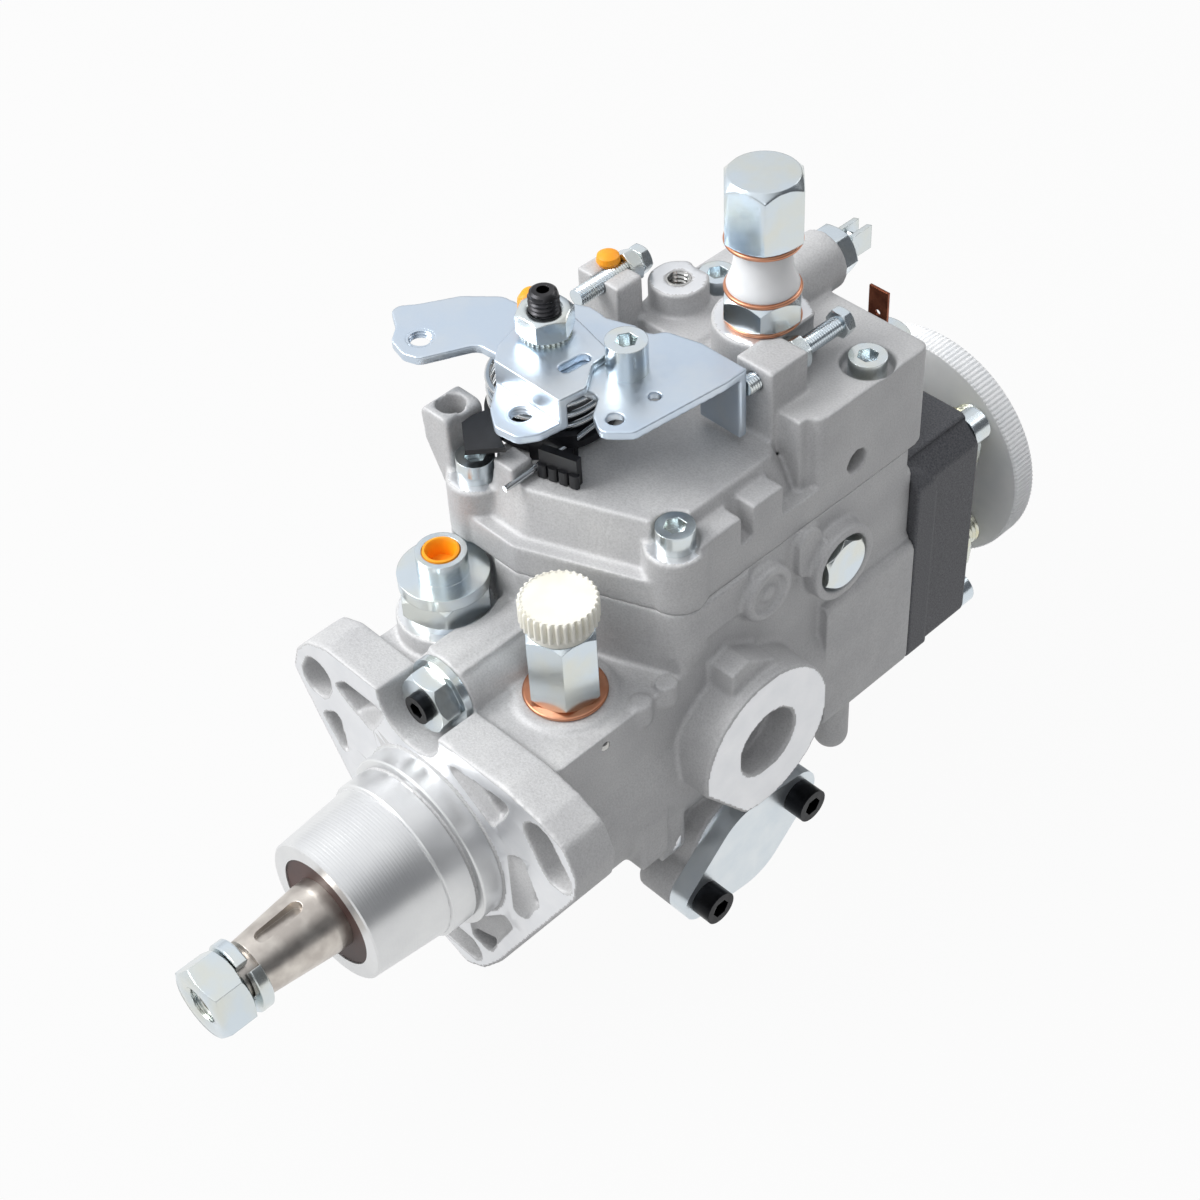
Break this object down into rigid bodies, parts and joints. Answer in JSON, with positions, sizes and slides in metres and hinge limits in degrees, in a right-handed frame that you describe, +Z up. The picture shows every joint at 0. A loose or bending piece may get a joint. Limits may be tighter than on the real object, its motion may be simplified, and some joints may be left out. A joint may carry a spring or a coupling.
{
  "type": "rotary distributor diesel injection pump",
  "caption": "Compact flange-mounted diesel injection pump with a tapered keyed drive shaft, governor cover, control levers and capped outlets.",
  "frame": {"origin": "centre of the flange's mounting face, on the axis of the drive shaft", "axes": "-Y along the drive shaft's taper, +Z up, +X towards the round flat side boss"},
  "size_m": [0.1179, 0.273, 0.1956],
  "materials": {
    "housing_casting": "as cast, dull silver grey",
    "cover_casting": "as cast, dull silver grey",
    "zinc_steel": "zinc plated, faintly yellow",
    "plain_steel": "machined and oiled",
    "dark_steel": "dark phosphate",
    "spring_steel": "drawn wire",
    "copper": "dull copper",
    "bronze": "sintered bronze",
    "white_plastic": "milky moulded plastic",
    "black_rubber": "matt black",
    "black_plastic": "moulded, matt black"
  },
  "bodies": {
    "pump": {"pump_housing": "housing_casting", "governor_cover": "cover_casting", "distributor_head": "dark_steel", "timing_covers": "cover_casting", "timing_cover_screws": "zinc_steel", "front_cover_screws": "zinc_steel", "long_socket_screws": "zinc_steel", "shaft_seal": "black_rubber", "shaft_bushes": "bronze", "eccentric_ring": "plain_steel", "supply_pump_cover": "plain_steel", "governor_shaft": "plain_steel", "governor_shaft_locknut": "zinc_steel", "pressure_regulator": "zinc_steel", "inlet_union": "zinc_steel", "inlet_cap": "white_plastic", "copper_washers": "copper", "return_adaptor": "zinc_steel", "return_sleeve": "white_plastic", "return_cap_nut": "zinc_steel", "stop_screws": "zinc_steel", "stop_screw_nuts": "zinc_steel", "full_load_screw": "zinc_steel", "stop_solenoid": "zinc_steel", "delivery_valve_holders": "dark_steel", "transport_cap": "white_plastic", "lever_pivot_bolts": "zinc_steel", "guide_lever": "plain_steel", "spring_bridge": "plain_steel", "plunger_springs": "spring_steel", "timing_spring": "spring_steel", "return_spring": "spring_steel", "spring_seat": "black_plastic"},
    "shaft": {"drive_shaft": "plain_steel", "shaft_nut": "plain_steel", "lock_washer": "plain_steel", "drive_gear": "plain_steel", "supply_rotor": "plain_steel", "supply_vanes": "plain_steel", "cross_coupling": "plain_steel"},
    "cam": {"cam_plate": "plain_steel", "plunger": "plain_steel"},
    "governor": {"governor_carrier": "plain_steel"},
    "weight_1": {"flyweight_1": "plain_steel"},
    "weight_2": {"flyweight_2": "plain_steel"},
    "weight_3": {"flyweight_3": "plain_steel"},
    "weight_4": {"flyweight_4": "plain_steel"},
    "sleeve": {"governor_sleeve": "plain_steel"},
    "start_lever": {"governor_lever": "plain_steel", "governor_spring": "spring_steel"},
    "spool": {"control_spool": "plain_steel"},
    "control": {"control_lever": "zinc_steel", "control_shaft": "plain_steel", "lever_nut": "zinc_steel", "lever_washer": "zinc_steel", "lever_plate": "zinc_steel", "spacer_screw": "zinc_steel"},
    "timing": {"timing_piston": "plain_steel"},
    "ring": {"roller_ring": "plain_steel", "rollers": "plain_steel"}
  },
  "joints": [
    {"name": "shaft_spin", "type": "hinge", "parent": "pump", "child": "shaft", "pos_m": [0, 0, 0], "axis": [0, 1, 0], "continuous": true},
    {"name": "cam_spin", "type": "hinge", "parent": "pump", "child": "cam", "pos_m": [0, 0, 0], "axis": [0, 1, 0], "continuous": true},
    {"name": "governor_spin", "type": "hinge", "parent": "pump", "child": "governor", "pos_m": [-0.006, 0, 0.0375], "axis": [0, 1, 0], "continuous": true},
    {"name": "governor_sleeve_slide", "type": "slide", "parent": "pump", "child": "sleeve", "axis": [0, 1, 0], "range_m": [0, 0.0025]},
    {"name": "flyweight_1_swing", "type": "hinge", "parent": "governor", "child": "weight_1", "pos_m": [0.00432, 0.058, 0.04782], "axis": [0.7071, 0, -0.7071], "range_deg": [0, 16.6]},
    {"name": "flyweight_2_swing", "type": "hinge", "parent": "governor", "child": "weight_2", "pos_m": [-0.01632, 0.058, 0.04782], "axis": [0.7071, 0, 0.7071], "range_deg": [0, 16.6]},
    {"name": "flyweight_3_swing", "type": "hinge", "parent": "governor", "child": "weight_3", "pos_m": [-0.01632, 0.058, 0.02718], "axis": [-0.7071, 0, 0.7071], "range_deg": [0, 16.6]},
    {"name": "flyweight_4_swing", "type": "hinge", "parent": "governor", "child": "weight_4", "pos_m": [0.00432, 0.058, 0.02718], "axis": [-0.7071, 0, -0.7071], "range_deg": [0, 16.6]},
    {"name": "governor_lever_swing", "type": "hinge", "parent": "pump", "child": "start_lever", "pos_m": [0, 0.112, 0.021], "axis": [-1, 0, 0], "range_deg": [0, 8.8]},
    {"name": "control_spool_slide", "type": "slide", "parent": "pump", "child": "spool", "axis": [0, 1, 0], "range_m": [-0.002, 0]},
    {"name": "control_lever_turn", "type": "hinge", "parent": "pump", "child": "control", "pos_m": [-0.0265, 0.072, 0.099], "axis": [0, 0, -1], "range_deg": [0, 48], "stiffness_Nm_per_rad": 0.8, "springref_deg": -40.11},
    {"name": "timing_piston_slide", "type": "slide", "parent": "pump", "child": "timing", "axis": [1, 0, 0], "range_m": [0, 0.006]},
    {"name": "roller_ring_turn", "type": "hinge", "parent": "pump", "child": "ring", "pos_m": [0, 0, 0], "axis": [0, -1, 0], "range_deg": [0, 9.3]}
  ],
  "couplings": [
    {"joint": "cam_spin", "follows": "shaft_spin", "ratio": 1},
    {"joint": "governor_spin", "follows": "shaft_spin", "ratio": -1.6087},
    {"joint": "flyweight_1_swing", "follows": "governor_sleeve_slide", "rad_per_m": 115.2},
    {"joint": "flyweight_2_swing", "follows": "governor_sleeve_slide", "rad_per_m": 115.2},
    {"joint": "flyweight_3_swing", "follows": "governor_sleeve_slide", "rad_per_m": 115.2},
    {"joint": "flyweight_4_swing", "follows": "governor_sleeve_slide", "rad_per_m": 115.2},
    {"joint": "governor_lever_swing", "follows": "governor_sleeve_slide", "rad_per_m": 60.6},
    {"joint": "control_spool_slide", "follows": "governor_sleeve_slide", "ratio": -0.7575},
    {"joint": "roller_ring_turn", "follows": "timing_piston_slide", "rad_per_m": 26.67}
  ]
}
